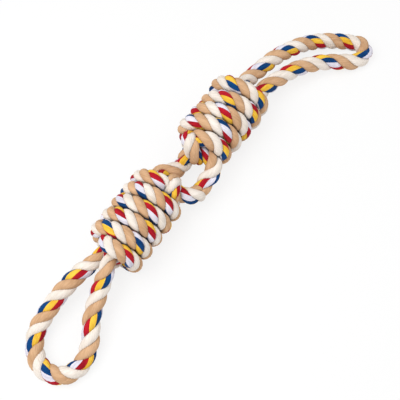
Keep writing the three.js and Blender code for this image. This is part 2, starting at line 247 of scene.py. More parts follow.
def linear(hex_colour: str) -> tuple[float, float, float, float]:
    """Turn an sRGB hex colour into linear light.

    Args:
        hex_colour: A colour such as #f0eae0.

    Returns:
        Red, green, blue and alpha, linear.
    """
    parts = [int(hex_colour[i:i + 2], 16) / 255 for i in (1, 3, 5)]
    light = [p / 12.92 if p <= 0.04045 else ((p + 0.055) / 1.055) ** 2.4 for p in parts]
    return (*light, 1.0)


def add_node(
    tree: bpy.types.NodeTree,
    kind: str,
    settings: dict[str, object] | None = None,
    inputs: dict[str | int, object] | None = None,
    links: dict[str | int, bpy.types.NodeSocket] | None = None,
) -> bpy.types.Node:
    """Add one node with its settings, values and links.

    Args:
        tree: The node tree.
        kind: The node's type name.
        settings: Attributes of the node.
        inputs: Values of its input sockets.
        links: Sockets that feed its input sockets.

    Returns:
        The new node.
    """
    node = tree.nodes.new(kind)
    for name, value in (settings or {}).items():
        setattr(node, name, value)
    for name, value in (inputs or {}).items():
        node.inputs[name].default_value = value
    for name, source in (links or {}).items():
        tree.links.new(source, node.inputs[name])
    return node


@dataclass(frozen=True)
class CottonYarn:
    """Soft-spun cotton, dyed or natural: matt, with fibres along the yarn and a thin nap.

    Real fibres are about 0.02 mm wide. They are drawn as streaks of 1.5 mm, so that they show.
    """

    name: str
    colour: str
    shade: str
    roughness: float = 0.92
    sheen: float = 0.04
    fibre_width: float = 1.5 * MM
    fibre_length: float = 4 * MM
    fibre_depth: float = 0.5 * MM
    fibre_share: float = 0.9
    tone_range: Row = (0.7, 1.15)
    patch_length: float = 14 * MM
    bump_strength: float = 0.6
    # Painted shade in the creases: its dark colour, how far the test for nearby rope reaches, the
    # least share of the yarn's own colour kept, and the open shares between which it fades
    crease_shade_colour: str = "#2a1c12"
    crease_shade_reach: float = 4 * MM
    colour_kept_in_crease_shade: float = 0.2
    crease_shade_range: Row = (0.15, 0.75)

    def material(self) -> bpy.types.Material:
        """Build the yarn's material.

        Returns:
            A material whose pattern follows the yarns by the rope's own UV map, in metres.
        """
        made = bpy.data.materials.new(self.name)
        made.use_nodes = True
        tree = made.node_tree
        tree.nodes.clear()
        place = add_node(tree, "ShaderNodeTexCoord").outputs["UV"]
        # Fibres: long thin streaks along the yarn, which look soft and brushed
        fibre_place = add_node(
            tree, "ShaderNodeMapping",
            inputs={"Scale": (1 / self.fibre_length, 1 / self.fibre_width, 1.0)},
            links={"Vector": place},
        ).outputs["Vector"]
        fibres = add_node(
            tree, "ShaderNodeTexNoise",
            inputs={"Scale": 1.0, "Detail": 3.0, "Roughness": 0.6},
            links={"Vector": fibre_place},
        ).outputs["Fac"]
        # Patches: cotton takes dye unevenly from one stretch of yarn to the next
        patch_place = add_node(
            tree, "ShaderNodeMapping",
            inputs={"Scale": (1 / self.patch_length, 2 / self.patch_length, 1.0)},
            links={"Vector": place},
        ).outputs["Vector"]
        patches = add_node(
            tree, "ShaderNodeTexNoise",
            inputs={"Scale": 1.0, "Detail": 2.0, "Roughness": 0.5},
            links={"Vector": patch_place},
        ).outputs["Fac"]
        blend_of_both = add_node(
            tree, "ShaderNodeMath", {"operation": "MULTIPLY_ADD"}, {1: self.fibre_share},
            {0: fibres, 2: patches},
        ).outputs[0]
        tone = add_node(
            tree, "ShaderNodeMapRange",
            inputs={"From Min": self.tone_range[0], "From Max": self.tone_range[1]},
            links={"Value": blend_of_both},
        ).outputs["Result"]
        colour = add_node(
            tree, "ShaderNodeMix", {"data_type": "RGBA"},
            {"A": linear(self.shade), "B": linear(self.colour)}, {"Factor": tone},
        ).outputs[2]
        # Creases: painted shade darkens the seams between strands and between wraps, where little
        # light reaches
        open_share = add_node(
            tree, "ShaderNodeAmbientOcclusion", {"samples": 8}, {"Distance": self.crease_shade_reach},
        ).outputs["AO"]
        painted_crease_shade = add_node(
            tree, "ShaderNodeMapRange",
            inputs={"From Min": self.crease_shade_range[0], "From Max": self.crease_shade_range[1],
                    "To Min": self.colour_kept_in_crease_shade, "To Max": 1.0},
            links={"Value": open_share},
        ).outputs["Result"]
        colour = add_node(
            tree, "ShaderNodeMix", {"data_type": "RGBA"},
            {"A": linear(self.crease_shade_colour)}, {"Factor": painted_crease_shade, "B": colour},
        ).outputs[2]
        bump = add_node(
            tree, "ShaderNodeBump",
            inputs={"Strength": self.bump_strength, "Distance": self.fibre_depth},
            links={"Height": fibres},
        ).outputs["Normal"]
        shader = add_node(
            tree, "ShaderNodeBsdfPrincipled",
            inputs={"Roughness": self.roughness, "Sheen Weight": self.sheen, "Sheen Roughness": 0.5,
                    "Specular IOR Level": 0.1},
            links={"Base Color": colour, "Normal": bump},
        )
        add_node(tree, "ShaderNodeOutputMaterial", links={"Surface": shader.outputs["BSDF"]})
        return made


class Yarn(Enum):
    """The yarns of the toy: two plain strands, and four colours in the third strand."""

    # Half bleached: a warm off-white, the lightest band of the rope
    CREAM = CottonYarn("cream_cotton_bleached", "#f2e9e0", "#ded3c6")
    # Dyed pale: a sandy tan that gives the rope its warm tone
    TAN = CottonYarn("tan_cotton_dyed", "#d9b18b", "#be9570")
    # Four bright yarns, a quarter of their strand each, which show as short slanting dashes
    YELLOW = CottonYarn("yellow_cotton_dyed", "#f6cb4c", "#dfa92f")
    RED = CottonYarn("red_cotton_dyed", "#bb1d2c", "#8f1220")
    WHITE = CottonYarn("white_cotton_bleached", "#e9e6f0", "#cfccda")
    BLUE = CottonYarn("blue_cotton_dyed", "#0d4680", "#08305c")
    # Thin hard-spun thread round the hidden joins: finer streaks than the rope's yarns
    THREAD = CottonYarn("binding_thread_cotton", "#ece9e2", "#d8d4ca", fibre_width=0.3 * MM)


YARN_MATERIALS = {yarn: yarn.value.material() for yarn in Yarn}
COLOURED_ORDER = (Yarn.YELLOW, Yarn.RED, Yarn.WHITE, Yarn.BLUE)


# Routes

def smoothstep(value: np.ndarray, start: float, end: float) -> np.ndarray:
    """Ease from 0 to 1 between two lengths.

    Args:
        value: Lengths.
        start: Where the ease starts.
        end: Where it ends.

    Returns:
        The eased share at each length.
    """
    share = np.clip((value - start) / (end - start), 0, 1)
    return share * share * (3 - 2 * share)


class Route:
    """A rope's centre line: the same smooth curve that the part's source draws."""

    dense_steps = 10
    sample = 1 * MM
    smoothing_passes = 3

    def __init__(self, places: Sequence[np.ndarray]) -> None:
        """Lay the curve through its places.

        Args:
            places: Points in the frame, in metres.
        """
        dense = self._curve(places)
        steps = np.linalg.norm(np.diff(dense, axis=0), axis=1)
        self.lengths = np.concatenate([[0], np.cumsum(steps)])
        self.total = float(self.lengths[-1])
        self.s = np.arange(0, self.total, self.sample)
        centre = np.stack([np.interp(self.s, self.lengths, dense[:, k]) for k in range(3)], 1)
        for _ in range(self.smoothing_passes):
            centre[1:-1] = (centre[:-2] + 2 * centre[1:-1] + centre[2:]) / 4
        self.centre = centre
        ahead = np.gradient(centre, axis=0)
        self.ahead = ahead / np.linalg.norm(ahead, axis=1)[:, None]
        across = np.cross([0, 0, 1.0], self.ahead[0])
        frames = []
        for direction in self.ahead:
            across = across - direction * (across @ direction)
            across = across / np.linalg.norm(across)
            frames.append(across)
        self.across = np.array(frames)
        self.beside = np.cross(self.ahead, self.across)

    def _curve(self, places: Sequence[np.ndarray]) -> np.ndarray:
        """Draw a centripetal Catmull-Rom curve.

        Args:
            places: The points it passes through.

        Returns:
            Points along the curve, ten to each stretch.
        """
        points = [np.asarray(place, float) for place in places]
        wide = [2 * points[0] - points[1], *points, 2 * points[-1] - points[-2]]
        out = []
        for i in range(len(points) - 1):
            p0, p1, p2, p3 = wide[i:i + 4]
            d0, d1, d2 = (
                float(np.sum((v - u) ** 2)) ** 0.25 for u, v in ((p0, p1), (p1, p2), (p2, p3))
            )
            t1 = ((p1 - p0) / d0 - (p2 - p0) / (d0 + d1) + (p2 - p1) / d1) * d1
            t2 = ((p2 - p1) / d1 - (p3 - p1) / (d1 + d2) + (p3 - p2) / d2) * d1
            for k in range(self.dense_steps):
                t = k / self.dense_steps
                cubic = (2 * p1 - 2 * p2 + t1 + t2) * t + (-3 * p1 + 3 * p2 - 2 * t1 - t2)
                out.append((cubic * t + t1) * t + p1)
        out.append(points[-1])
        return np.array(out)

    def at(self, index: int) -> float:
        """Length along the route at which it passes the place of that number."""
        return float(self.lengths[index * self.dense_steps])

    def sampled(self, values: np.ndarray, lengths: np.ndarray) -> np.ndarray:
        """Values of a table along the route, read at other lengths."""
        return np.stack([np.interp(lengths, self.s, values[:, k]) for k in range(3)], 1)


@dataclass(frozen=True)
class Turns:
    """How an angle changes along a route: rows of millimetres and degrees, and its usual rate."""

    rows: Sequence[Row]
    rate: float

    def at(self, lengths: np.ndarray | float) -> np.ndarray:
        """Angles in degrees, straight between the rows and on past them, at millimetres."""
        places, angles = np.array(self.rows, float).T
        start, end = angles[1] - angles[0], angles[-1] - angles[-2]
        before = np.minimum(lengths - places[0], 0) * start / (places[1] - places[0])
        after = np.maximum(lengths - places[-1], 0) * end / (places[-1] - places[-2])
        return np.interp(lengths, places, angles) + before + after

    def joined(self, after: "Turns", rate: float) -> "Turns":
        """Carry on with rows that lie further along, in whole turns from where these lead.

        Args:
            after: Rows further along the same route.
            rate: Degrees for each millimetre between the two.

        Returns:
            All the rows as one.
        """
        (last, angle), (first, next_angle) = self.rows[-1], after.rows[0]
        turns = round((angle + rate * (first - last) - next_angle) / FULL_TURN) * FULL_TURN
        return Turns([*self.rows, *((s, value + turns) for s, value in after.rows)], self.rate)


def wrapped(degrees: np.ndarray) -> np.ndarray:
    """Angles with whole turns taken off, from -180 to 180 degrees."""
    return (degrees + HALF_TURN) % FULL_TURN - HALF_TURN


@dataclass(frozen=True)
class Fit:
    """Finds turns through angles that are read by eye, each known but for whole turns.

    Lengths are millimetres. Each change of rate costs stiffness, and a rate off the usual one
    slope_share of that. A reading that lies past doubt_angle off the line counts less and less.
    """

    row_step: float
    stiffness: float
    slope_share: float = 1 / 3
    margin: float = 5
    doubt_angle: float = 35
    phase_step: int = 10
    rounds: int = 8

    def turns(self, readings: Sequence[Row], rates: Sequence[Row]) -> Turns:
        """Find the best line.

        Args:
            readings: Lengths, and the angle read at each.
            rates: Degrees for each millimetre that are tried, and what each costs.

        Returns:
            The turns, with a row at each step.
        """
        lengths, angles = np.array(sorted(readings)).T
        low, high = lengths[0] - self.margin, lengths[-1] + self.margin
        count = max(2, round((high - low) / self.row_step) + 1)
        place = (lengths - low) / (high - low) * (count - 1)
        before = np.minimum(place.astype(int), count - 2)
        share = (place - before)[:, None]
        spread = np.eye(count)[before] * (1 - share) + np.eye(count)[before + 1] * share
        bends = np.diff(np.eye(count), 2, axis=0) * self.stiffness
        slopes = np.diff(np.eye(count), axis=0) * self.stiffness * self.slope_share
        firm = bends.T @ bends + slopes.T @ slopes
        best = (math.inf, 0.0, np.zeros(count))
        for rate, rate_cost in rates:
            for phase in range(0, FULL_TURN, self.phase_step):
                line = np.full(count, float(phase))
                for _ in range(self.rounds):
                    miss = wrapped(angles - rate * lengths - spread @ line)
                    weight = 1 / (1 + (miss / self.doubt_angle) ** 2)
                    pull = spread.T @ (weight * (spread @ line + miss))
                    line = np.linalg.solve((spread.T * weight) @ spread + firm, pull)
                miss = wrapped(angles - rate * lengths - spread @ line)
                cost = np.sum(miss ** 2 / (1 + (miss / self.doubt_angle) ** 2)) + rate_cost
                cost += np.sum((bends @ line) ** 2) + np.sum((slopes @ line) ** 2)
                if cost < best[0]:
                    best = (cost, rate, line)
        places = np.linspace(low, high, count)
        return Turns(list(zip(places, best[1] * places + best[2])), best[1])


@dataclass
class TwistReader:
    """Works out how one rope turns from the places where its strands and yarns are seen.

    A stretch is what is seen on it, and the lengths in metres between which it lies.
    """

    route: Route
    radius_at: Callable[[np.ndarray], np.ndarray]
    view: View = View()
    lay_reach: float = 4
    lay_step: float = 0.5
    lay_doubt: float = 1.5
    lay_cost: float = 300
    yarn_shares: Sequence[float] = (-0.3, -0.2, -0.1, 0, 0.1, 0.2, 0.3)
    yarn_fit: Fit = Fit(row_step=45, stiffness=0.3)
    near: int = 14

    def sight(self, pixel: Row, start: float, end: float) -> tuple[float, float]:
        """Find where a pixel lies on the rope.

        Args:
            pixel: A place in the photograph.
            start: Length where the stretch starts, in metres.
            end: Length where it ends.

        Returns:
            The length along the route in millimetres, and the angle round it in degrees.
        """
        place, direction = self.view.ray(pixel)
        shown = np.nonzero((self.route.s >= start) & (self.route.s <= end))[0]
        out = self.route.centre[shown] - place
        depth = out @ direction
        radius = self.radius_at(self.route.s[shown])
        past = np.sum(out * out, axis=1) - depth ** 2 - radius ** 2
        front = depth - np.sqrt(np.maximum(-past, 0))
        hits = past < 0
        best = int(np.argmin(np.where(hits, front, np.inf) if hits.any() else past))
        surface = place + direction * front[best]
        first = max(0, shown[best] - self.near)
        around = self.route.centre[first:shown[best] + self.near + 1]
        nearest = first + int(np.argmin(np.linalg.norm(around - surface, axis=1)))
        off = surface - self.route.centre[nearest]
        angle = math.atan2(off @ self.route.beside[nearest], off @ self.route.across[nearest])
        return self.route.s[nearest] / MM, math.degrees(angle)

    def strands(self, stretches: Sequence[Stretch], lay: float, fit: Fit) -> Turns:
        """Work out how the strands turn.

        Args:
            stretches: What is seen, and where.
            lay: The usual length of a strand's turn, in millimetres.
            fit: How the line is drawn through what is seen.

        Returns:
            The turns of the coloured strand.
        """
        readings = []
        for seen, start, end in stretches:
            for pixel, turn in seen.strands():
                length, angle = self.sight(pixel, start, end)
                readings.append((length, angle + turn))
        steps = round(self.lay_reach / self.lay_step)
        lays = lay + self.lay_step * np.arange(-steps, steps + 1)
        rates = [
            (FULL_TURN / tried, self.lay_cost * ((tried - lay) / self.lay_doubt) ** 2)
            for tried in lays
        ]
        return fit.turns(readings, rates)

    def yarns(self, stretches: Sequence[Stretch], strands: Turns) -> Turns:
        """Work out how the yarns drift within the coloured strand.

        Args:
            stretches: What is seen, and where.
            strands: The turns of the coloured strand there.

        Returns:
            The yarns' turn, less their usual turn for each turn of the strand.
        """
        readings = []
        for seen, start, end in stretches:
            for pixel, turn in seen.yarns():
                length, angle = self.sight(pixel, start, end)
                strand = float(strands.at(length))
                off = math.radians(angle - strand)
                own = math.degrees(math.atan2(math.sin(off), math.cos(off) - STRAND_CENTRE_SHARE))
                readings.append((length, own + turn - YARN_TURNS_PER_TURN * strand))
        return self.yarn_fit.turns(readings, [(strands.rate * q, 0.0) for q in self.yarn_shares])


@dataclass
class Twist:
    """How the strands turn along one rope, and the yarns within a strand.

    The yarns turn the other way within their strand, as in real laid rope, and drift a little.
    Past the ends of what is seen, a strand's turn takes the usual lay, in millimetres.
    """

    route: Route
    strands: Turns
    yarns: Turns
    lay: float = LOOP_LAY
    reach: int = 6

    def strand_turns(self, lengths: np.ndarray) -> np.ndarray:
        """Turn of the coloured strand in the route's own frame.

        Args:
            lengths: Lengths along the route, in metres.

        Returns:
            The turn in degrees at each length.
        """
        return self._smooth(self.strands.rows, FULL_TURN / self.lay, lengths)

    def yarn_turns(self, lengths: np.ndarray) -> np.ndarray:
        """Turn of the yarns within their strand, in degrees, at lengths in metres."""
        drift = self._smooth(self.yarns.rows, 0, lengths)
        return drift + YARN_TURNS_PER_TURN * self.strand_turns(lengths)

    def _smooth(self, rows: Sequence[Row], rate: float, lengths: np.ndarray) -> np.ndarray:
        """Draw a smooth line through rows of turns.

        The rows are rounded to whole millimetres and degrees, which is finer than an eye reads
        them, so that every run lays the same rope.

        Args:
            rows: Millimetres along the route, and degrees there.
            rate: Degrees for each millimetre past the rows' ends.
            lengths: Lengths at which it is read, in metres.

        Returns:
            The value at each length.
        """
        past = self.route.total / MM
        rows = [(round(place), round(angle)) for place, angle in rows]
        (first, low), (last, high) = rows[0], rows[-1]
        wide = [(first - past, low - rate * past), *rows, (last + past, high + rate * past)]
        grid = np.interp(self.route.s / MM, *zip(*wide))
        before = grid[0] + np.arange(-self.reach, 0) * (grid[1] - grid[0])
        after = grid[-1] + np.arange(1, self.reach + 1) * (grid[-1] - grid[-2])
        kernel = np.ones(2 * self.reach + 1) / (2 * self.reach + 1)
        smoothed = np.convolve(np.concatenate([before, grid, after]), kernel, "valid")
        return np.interp(lengths, self.route.s, smoothed)


# Ropes

@dataclass
class LaidRope:
    """Three strands laid together along a route, each of twelve yarns that show as ribs.

    The shares are of the rope's radius: where a strand's centre lies, and its half height and half
    width. The grooves between yarns are rib_depth of a strand's size deep.
    """

    route: Route
    radius_at: Callable[[np.ndarray], np.ndarray]
    twist: Twist
    ring_step: float = 2 * MM
    yarns: int = 12
    points_per_yarn: int = 3
    centre_share: float = STRAND_CENTRE_SHARE
    height_share: float = 0.464
    width_share: float = 0.545
    rib_depth: float = 0.045
    unevenness: float = 0.02
    uneven_lengths: Row = (31 * MM, 17 * MM)
    floor_height: float = 0.3 * MM
    seed: int = 7

    def _strand(self, number: int, lengths: np.ndarray) -> np.ndarray:
        """Lay out one strand's rings.

        Args:
            number: 0 for the coloured strand, 1 for the cream one, 2 for the tan one.
            lengths: Lengths along the route of its rings.

        Returns:
            Points as an array of rings, points and coordinates.
        """
        radius = self.radius_at(lengths)[:, None]
        centre = self.route.sampled(self.route.centre, lengths)
        across = self.route.sampled(self.route.across, lengths)
        beside = self.route.sampled(self.route.beside, lengths)
        strand_turns = self.twist.strand_turns(lengths)
        turn = np.radians(strand_turns - number * FULL_TURN / STRANDS)[:, None]
        outward = across * np.cos(turn) + beside * np.sin(turn)
        path = centre + outward * radius * self.centre_share
        ahead = np.gradient(path, axis=0)
        ahead /= np.linalg.norm(ahead, axis=1)[:, None]
        outward = outward - ahead * np.sum(outward * ahead, axis=1)[:, None]
        outward /= np.linalg.norm(outward, axis=1)[:, None]
        side = np.cross(ahead, outward)
        count = self.yarns * self.points_per_yarn
        start = np.radians(self.twist.yarn_turns(lengths))[:, None]
        angle = start + np.arange(count)[None, :] * 2 * math.pi / count
        draw = np.random.default_rng(self.seed + number)
        waves = sum(
            np.sin(lengths[:, None] * 2 * math.pi / wave + draw.uniform(0, 2 * math.pi, count))
            for wave in self.uneven_lengths
        )
        groove = (np.arange(count) % self.points_per_yarn == 0).astype(float)[None, :]
        size = 1 - self.rib_depth * groove + self.unevenness / len(self.uneven_lengths) * waves
        points = (
            path[:, None, :]
            + outward[:, None, :] * (radius * self.height_share * np.cos(angle) * size)[:, :, None]
            + side[:, None, :] * (radius * self.width_share * np.sin(angle) * size)[:, :, None]
        )
        points[:, :, 2] = np.maximum(points[:, :, 2], self.floor_height)
        return points

    def mesh(self, name: str, start: float, end: float) -> bpy.types.Object:
        """Build the rope between two lengths as one mesh.

        Args:
            name: The piece's name.
            start: Length where it starts, in metres.
            end: Length where it ends.

        Returns:
            The mesh object, with its yarn materials.
        """
        first, last = math.floor(start / self.ring_step), math.ceil(end / self.ring_step)
        lengths = np.arange(first, last + 1) * self.ring_step
        lengths = lengths[(lengths >= 0) & (lengths <= self.route.total - self.ring_step)]
        count = self.yarns * self.points_per_yarn
        rings = len(lengths)
        vertices, faces, slots, coordinates = [], [], [], []
        width = 2 * math.pi * self.height_share * FREE_DIAMETER / 2
        for number in range(STRANDS):
            base = number * (rings * count + 2)
            points = self._strand(number, lengths)
            vertices.append(points.reshape(-1, 3))
            vertices.append(points[[0, -1]].mean(axis=1))
            ring = np.repeat(np.arange(rings - 1), count)
            side = np.tile(np.arange(count), rings - 1)
            after = (side + 1) % count
            faces.append(base + np.stack([
                ring * count + side, ring * count + after,
                (ring + 1) * count + after, (ring + 1) * count + side,
            ], 1))
            slots.append(self._slots(number, side))
            u0, u1 = lengths[ring], lengths[ring + 1]
            v0, v1 = side / count * width, (side + 1) / count * width
            coordinates.append(np.stack([u0, v0, u0, v1, u1, v1, u1, v0], 1).reshape(-1, 2))
        caps, cap_slots = self._caps(rings, count)
        return rope_object(
            name, np.concatenate(vertices), np.concatenate(faces), caps,
            np.concatenate([*slots, cap_slots]), np.concatenate(coordinates), self._materials(),
        )

    def _materials(self) -> list[bpy.types.Material]:
        """The materials in the order of the slots: four colours, then cream, then tan."""
        order = (*COLOURED_ORDER, Yarn.CREAM, Yarn.TAN)
        return [YARN_MATERIALS[yarn] for yarn in order]

    def _slots(self, number: int, side: np.ndarray) -> np.ndarray:
        """Material slot of each face of a strand, by its place round the strand.

        Args:
            number: Which strand.
            side: Place of each face round the strand.

        Returns:
            The slot of each face.
        """
        if number == 0:
            per_colour = self.yarns * self.points_per_yarn // len(COLOURED_ORDER)
            return side // per_colour
        return np.full(len(side), len(COLOURED_ORDER) + number - 1)

    def _caps(self, rings: int, count: int) -> tuple[np.ndarray, np.ndarray]:
        """Close the two ends of each strand with fans.

        Args:
            rings: Rings in each strand.
            count: Points in each ring.

        Returns:
            Triangles, and the slot of each.
        """
        side = np.arange(count)
        after = (side + 1) % count
        triangles, slots = [], []
        for number in range(STRANDS):
            base = number * (rings * count + 2)
            middle = base + rings * count
            last = base + (rings - 1) * count
            triangles.append(np.stack([np.full(count, middle), base + after, base + side], 1))
            triangles.append(np.stack([np.full(count, middle + 1), last + side, last + after], 1))
            slots.append(np.tile(self._slots(number, side), 2))
        return np.concatenate(triangles), np.concatenate(slots)


def rope_object(
    name: str,
    vertices: np.ndarray,
    quads: np.ndarray,
    triangles: np.ndarray,
    slots: np.ndarray,
    coordinates: np.ndarray,
    materials: Sequence[bpy.types.Material],
) -> bpy.types.Object:
    """Make a mesh object from arrays.

    Args:
        name: The piece's name.
        vertices: Points in the frame.
        quads: Four-sided faces.
        triangles: Three-sided faces, which come after the quads.
        slots: Material slot of each face.
        coordinates: UV coordinates of the quads' corners, in metres.
        materials: Materials in the order of the slots.

    Returns:
        The new object, smooth shaded.
    """
    mesh = bpy.data.meshes.new(name)
    corners = np.concatenate([quads.ravel(), triangles.ravel()])
    starts = np.concatenate([
        np.arange(len(quads)) * 4, len(quads) * 4 + np.arange(len(triangles)) * 3,
    ])
    mesh.vertices.add(len(vertices))
    mesh.vertices.foreach_set("co", vertices.ravel())
    mesh.loops.add(len(corners))
    mesh.loops.foreach_set("vertex_index", corners.astype(np.int32))
    mesh.polygons.add(len(starts))
    mesh.polygons.foreach_set("loop_start", starts.astype(np.int32))
    mesh.polygons.foreach_set("material_index", slots.astype(np.int32))
    mesh.polygons.foreach_set("use_smooth", np.ones(len(starts), bool))
    layer = mesh.uv_layers.new(name="yarn")
    flat = np.zeros((len(corners), 2))
    flat[:len(coordinates)] = coordinates
    layer.data.foreach_set("uv", flat.ravel())
    mesh.update(calc_edges=True)
    mesh.validate()
    made = bpy.data.objects.new(name, mesh)
    bpy.context.scene.collection.objects.link(made)
    for material in materials:
        mesh.materials.append(material)
    return made


# Knots

@dataclass
class Knot:
    """A coil knot: a doubled handle rope in its core, and the middle rope wound round that.

    Its own frame has its axis along X from the outer end to the inner one, and left is +Y.
    start_tuck is 1 where the first wrap comes out from under the second, and first_shift is how
    far the slack first wrap lies along and across from where the winding would put it.
    """

    name: str
    x: float
    heading: float
    turns: int
    diameter: float
    lean: float
    is_upper: bool
    eye: Sequence[Row]
    tail: Sequence[Row]
    run_in: Sequence[Row]
    start_tuck: float = 0.0
    first_shift: Row = (0.0, 0.0)

    def __post_init__(self) -> None:
        """Work out the sizes that follow from the rope."""
        self.circle = CORE_CIRCLE + CORE_DIAMETER / 2 + WRAP_CLEARANCE + self.diameter / 2
        slope = abs(self.lean) + self.diameter / (2 * math.pi * self.circle)
        self.pitch = (self.diameter + WRAP_CLEARANCE) * math.hypot(1, slope)
        self.half_length = (self.turns - 1) * self.pitch / 2 + CORE_OVERRUN
        self.height = self.circle + self.diameter / 2 - FLOOR_CUT_SHARE * self.diameter

    @property
    def body(self) -> str:
        """The CAD body that the knot rides on."""
        return f"{self.name}_knot"

    def bend(self, rows: Sequence[Row], side: int) -> list[np.ndarray]:
        """Places past an end of the core.

        Args:
            rows: How far past the core's end, left and up, in diameters of the free rope.
            side: 1 past the inner end, -1 past the outer.

        Returns:
            The places in the knot's own frame.
        """
        return [
            np.array([side * (self.half_length + row[0] * FREE_DIAMETER),
                      row[1] * FREE_DIAMETER, row[2] * FREE_DIAMETER])
            for row in rows
        ]

    def core_pass(self, outer_degrees: float) -> list[np.ndarray]:
        """One pass through the core, from the outer end to the inner end.

        Args:
            outer_degrees: Angle round the axis at the outer end.

        Returns:
            Places in the knot's own frame.
        """
        steps = round(2 * self.half_length / CORE_STEP)
        shares = [i / steps for i in range(steps + 1)]
        turns = [math.radians(outer_degrees) + CORE_TWIST * share for share in shares]
        return [
            np.array([self.half_length * (2 * share - 1),
                      CORE_CIRCLE * math.cos(turn), CORE_CIRCLE * math.sin(turn)])
            for share, turn in zip(shares, turns)
        ]

    def wraps(self) -> list[np.ndarray]:
        """Wind the wraps, a right-handed helix from the outer end to the inner end.

        Returns:
            Places in the knot's own frame.
        """
        places = []
        last = (self.turns - 1) * FULL_TURN + WRAP_LEAVE_ANGLE
        for degrees in range(WRAP_START_ANGLE, last + 1, FULL_TURN // STEPS_PER_TURN):
            turn = math.radians(degrees)
            past = (degrees - TUCK_ANGLES[0]) / (TUCK_ANGLES[1] - TUCK_ANGLES[0])
            tuck = self.start_tuck * (1 - min(max(past, 0), 1))
            radius = self.circle - tuck * TUCK_INWARD
            across = radius * math.cos(turn)
            along = self.pitch * ((degrees - TOP_ANGLE) / FULL_TURN - (self.turns - 1) / 2)
            slack = math.sin(math.radians(min(max(degrees - TOP_ANGLE, 0), HALF_TURN)))
            loose = 1 - min(max((degrees - HALF_TURN) / QUARTER_TURN, 0), 1)
            places.append(np.array([
                along + self.lean * across + tuck * TUCK_ALONG + slack * self.first_shift[0],
                across + loose * self.first_shift[1],
                radius * math.sin(turn),
            ]))
        return places

    def placed(self, places: Sequence[np.ndarray]) -> list[np.ndarray]:
        """Put places of the knot's own frame where the knot lies; the upper knot faces back.

        Args:
            places: Places in the knot's own frame.

        Returns:
            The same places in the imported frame.
        """
        angle = math.radians(self.heading + (HALF_TURN if self.is_upper else 0))
        cos, sin = math.cos(angle), math.sin(angle)
        move = ORIGIN + np.array([self.x, 0, self.height])
        return [
            np.array([cos * x - sin * y, sin * x + cos * y, z]) + move for x, y, z in places
        ]


@dataclass
class HandleRope:
    """The handle rope of one knot: a closed ring, free in a loop and doubled through the core."""

    knot: Knot
    loop: Sequence[Row]
    loop_seen: Seen
    eye_seen: Seen
    eye_turns: MarkedTurns
    loop_fit: Fit = Fit(row_step=35, stiffness=0.5)
    hinge_reach: float = 22 * MM
    hidden_reach: float = 14 * MM
    eye_reach: float = 10 * MM
    path_step: int = 4

    def __post_init__(self) -> None:
        """Lay the route, which starts and ends in the loop."""
        knot = self.knot
        core = knot.core_pass(HANDLE_IN_ANGLE)
        going_in = [*knot.bend(HANDLE_IN_LEG[::-1], -1), *core, *knot.bend(knot.eye, 1)]
        coming_out = [*knot.core_pass(HANDLE_OUT_ANGLE)[::-1], *knot.bend(HANDLE_OUT_LEG, -1)]
        loop = placed_rows(self.loop)
        passes = knot.placed([*going_in, *coming_out])
        self.route = Route([*knot.placed(coming_out), *loop, *passes, *loop[:2]])
        loop_start = len(coming_out)
        loop_end = loop_start + len(loop)
        in_start = loop_end + len(HANDLE_IN_LEG)
        out_start = loop_end + len(going_in)
        self.out_mouth_before = self.route.at(len(core) - 1)
        self.hinge_out = self.route.at(loop_start)
        self.hinge_in = self.route.at(loop_end - 1)
        self.in_mouth = self.route.at(in_start)
        self.eye_start = self.route.at(in_start + len(core) - 1)
        self.eye_end = self.route.at(out_start)
        self.out_mouth = self.route.at(out_start + len(core) - 1)
        self.join = (self.eye_end + self.out_mouth) / 2
        self.rope = LaidRope(self.route, self.radius_at, self.twist())

    def twist(self) -> Twist:
        """Work out the twist: of the loop from what is seen, and of the eye from given turns.

        Returns:
            The twist of the whole rope.
        """
        reader = TwistReader(self.route, self.radius_at)
        loop = [(self.loop_seen, self.out_mouth_before, self.in_mouth)]
        strands = reader.strands(loop, LOOP_LAY, self.loop_fit)
        yarns = reader.yarns(loop, strands)
        start, end = self.eye_start - self.eye_reach, self.eye_end + self.eye_reach
        length, angle = reader.sight(self.eye_turns.mark, start, end)
        angle += self.eye_turns.strand_turn
        rows = [(length + past, angle + turn) for past, turn in self.eye_turns.rows]
        eye = Turns(rows, FULL_TURN / KNOT_LAY)
        eye_yarns = reader.yarns([(self.eye_seen, start, end)], eye)
        return Twist(
            self.route, strands.joined(eye, FULL_TURN / LOOP_LAY), yarns.joined(eye_yarns, 0),
        )

    def radius_at(self, lengths: np.ndarray) -> np.ndarray:
        """Radius along the route: free in the loop, squeezed in the core, fuller in the eye.

        Args:
            lengths: Lengths along the route, in metres.

        Returns:
            The rope's radius at each.
        """
        free, core, eye = FREE_DIAMETER / 2, CORE_DIAMETER / 2, EYE_DIAMETER / 2
        leaves, enters = self.out_mouth_before - HANDLE_EASE, self.in_mouth + HANDLE_EASE
        out = core + (free - core) * smoothstep(lengths, leaves, self.hinge_out)
        into = (core - free) * smoothstep(lengths, self.hinge_in, enters)
        share = np.clip((lengths - self.eye_start) / (self.eye_end - self.eye_start), 0, 1)
        return out + into + (eye - core) * np.sin(math.pi * share)

    def build(self) -> list[bpy.types.Object]:
        """Build the loop, the eye with its two core passes, and the thread over the join.

        Returns:
            The pieces.
        """
        knot, name = self.knot, self.knot.name
        start, end = self.out_mouth_before - self.hidden_reach, self.in_mouth + self.hidden_reach
        loop = self.rope.mesh(f"{name}_handle_rope", start, end)
        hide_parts(f"{name}_handle_loop")
        hinge = np.array(RECORD_JOINTS[f"{name}_handle_bend"]["pos_m"])
        inward = 1 if hinge[0] < knot.placed([np.zeros(3)])[0][0] else -1
        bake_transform(loop)
        eye = self.rope.mesh(f"{name}_eye_rope", end, self.out_mouth - self.hidden_reach)
        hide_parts(f"{name}_handle_eye", f"{name}_handle_end")
        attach(eye, knot.body)
        thread = ThreadBinding(self.route, self.join).build(f"{name}_handle_thread")
        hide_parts(f"{name}_handle_binding")
        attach(thread, knot.body)
        return [loop, eye, thread]


